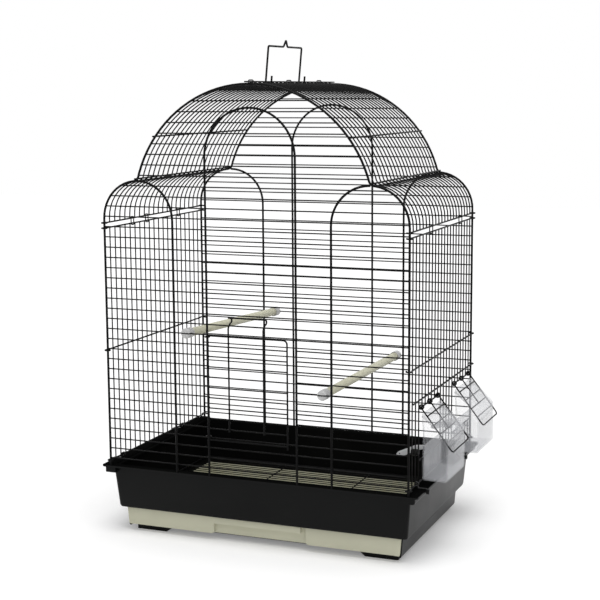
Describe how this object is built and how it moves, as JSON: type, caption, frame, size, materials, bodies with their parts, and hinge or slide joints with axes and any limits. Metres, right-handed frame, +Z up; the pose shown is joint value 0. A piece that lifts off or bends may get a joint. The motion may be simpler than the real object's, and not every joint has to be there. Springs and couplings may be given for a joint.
{
  "type": "scallop top bird cage",
  "caption": "Wire bird cage with a scalloped roof, front door, hooded feeder cups, perches, carrying handle, and a plastic base with a floor grate and pull-out drawer.",
  "frame": {"origin": "on the ground under the middle of the whole object's box; the cage's own middle lies a little to -X of it, because the cups stand out on +X", "axes": "+Z up, -Y towards the front door and the drawer's grip, +X towards the feeder cups"},
  "size_m": [0.5648, 0.3563, 0.7777],
  "materials": {
    "black_wire": "semi-gloss black powder coat on steel wire",
    "black_plastic": "fine satin texture, moulded",
    "cream_plastic": "satin, moulded",
    "clear_plastic": "clear, glossy",
    "cap_plastic": "milky, translucent"
  },
  "bodies": {
    "cage_and_base": {"back_panel": "black_wire", "base_tray": "black_plastic", "cup_button_back": "black_plastic", "cup_button_front": "black_plastic", "foot_back_left": "black_plastic", "foot_back_right": "black_plastic", "foot_front_left": "black_plastic", "foot_front_right": "black_plastic", "front_panel": "black_wire", "left_side_panel": "black_wire", "perch_left": "cream_plastic", "perch_left_back_cap": "cap_plastic", "perch_left_front_cap": "cap_plastic", "perch_right": "cream_plastic", "perch_right_back_cap": "cap_plastic", "perch_right_front_cap": "cap_plastic", "ridge_clip_1": "black_wire", "ridge_clip_2": "black_wire", "ridge_clip_3": "black_wire", "right_side_panel": "black_wire", "roof_clip_left_1": "black_wire", "roof_clip_left_2": "black_wire", "roof_clip_left_3": "black_wire", "roof_clip_right_1": "black_wire", "roof_clip_right_2": "black_wire", "roof_left": "black_wire", "roof_right": "black_wire"},
    "door": {"front_door": "black_wire"},
    "drawer": {"drawer": "cream_plastic"},
    "grate": {"floor_grate": "black_wire"},
    "handle": {"handle": "black_wire"},
    "flap_front": {"feeder_flap_front": "black_wire"},
    "flap_back": {"feeder_flap_back": "black_wire"},
    "cup_front": {"feeder_cup_front": "clear_plastic"},
    "cup_back": {"feeder_cup_back": "clear_plastic"},
    "clip_front_left": {"base_clip_front_left": "black_plastic"},
    "clip_back_left": {"base_clip_back_left": "black_plastic"},
    "clip_front_right": {"base_clip_front_right": "black_plastic"},
    "clip_back_right": {"base_clip_back_right": "black_plastic"}
  },
  "joints": [
    {"name": "front_door_hinge", "type": "hinge", "parent": "cage_and_base", "child": "door", "pos_m": [-0.08817, -0.17103, 0.2535], "axis": [0, 0, -1], "range_deg": [0, 120]},
    {"name": "feeder_flap_front_hinge", "type": "hinge", "parent": "cage_and_base", "child": "flap_front", "pos_m": [0.23163, -0.06343, 0.2315], "axis": [0, -1, 0], "range_deg": [0, 115]},
    {"name": "feeder_cup_front_slide", "type": "slide", "parent": "cage_and_base", "child": "cup_front", "axis": [1, 0, 0], "range_m": [0, 0.0502]},
    {"name": "feeder_flap_back_hinge", "type": "hinge", "parent": "cage_and_base", "child": "flap_back", "pos_m": [0.23163, 0.11519, 0.2315], "axis": [0, -1, 0], "range_deg": [0, 115]},
    {"name": "feeder_cup_back_slide", "type": "slide", "parent": "cage_and_base", "child": "cup_back", "axis": [1, 0, 0], "range_m": [0, 0.0502]},
    {"name": "drawer_slide", "type": "slide", "parent": "cage_and_base", "child": "drawer", "axis": [0, -1, 0], "range_m": [0, 0.28]},
    {"name": "floor_grate_lift", "type": "slide", "parent": "cage_and_base", "child": "grate", "axis": [0, 0, 1], "range_m": [0, 0.07]},
    {"name": "handle_hinge", "type": "hinge", "parent": "cage_and_base", "child": "handle", "pos_m": [-0.01537, -0.02823, 0.7111], "axis": [0, 1, 0], "range_deg": [-90, 80]},
    {"name": "base_clip_front_left_hinge", "type": "hinge", "parent": "cage_and_base", "child": "clip_front_left", "pos_m": [-0.26237, -0.12838, 0.1195], "axis": [0, 1, 0], "range_deg": [0, 90]},
    {"name": "base_clip_back_left_hinge", "type": "hinge", "parent": "cage_and_base", "child": "clip_back_left", "pos_m": [-0.26237, 0.08272, 0.1195], "axis": [0, 1, 0], "range_deg": [0, 90]},
    {"name": "base_clip_front_right_hinge", "type": "hinge", "parent": "cage_and_base", "child": "clip_front_right", "pos_m": [0.23163, -0.12838, 0.1195], "axis": [0, -1, 0], "range_deg": [0, 90]},
    {"name": "base_clip_back_right_hinge", "type": "hinge", "parent": "cage_and_base", "child": "clip_back_right", "pos_m": [0.23163, 0.08272, 0.1195], "axis": [0, -1, 0], "range_deg": [0, 12]}
  ],
  "couplings": [
    {"joint": "feeder_cup_front_slide", "follows": "feeder_flap_front_hinge", "m_per_rad": 0.025},
    {"joint": "feeder_cup_back_slide", "follows": "feeder_flap_back_hinge", "m_per_rad": 0.025}
  ]
}
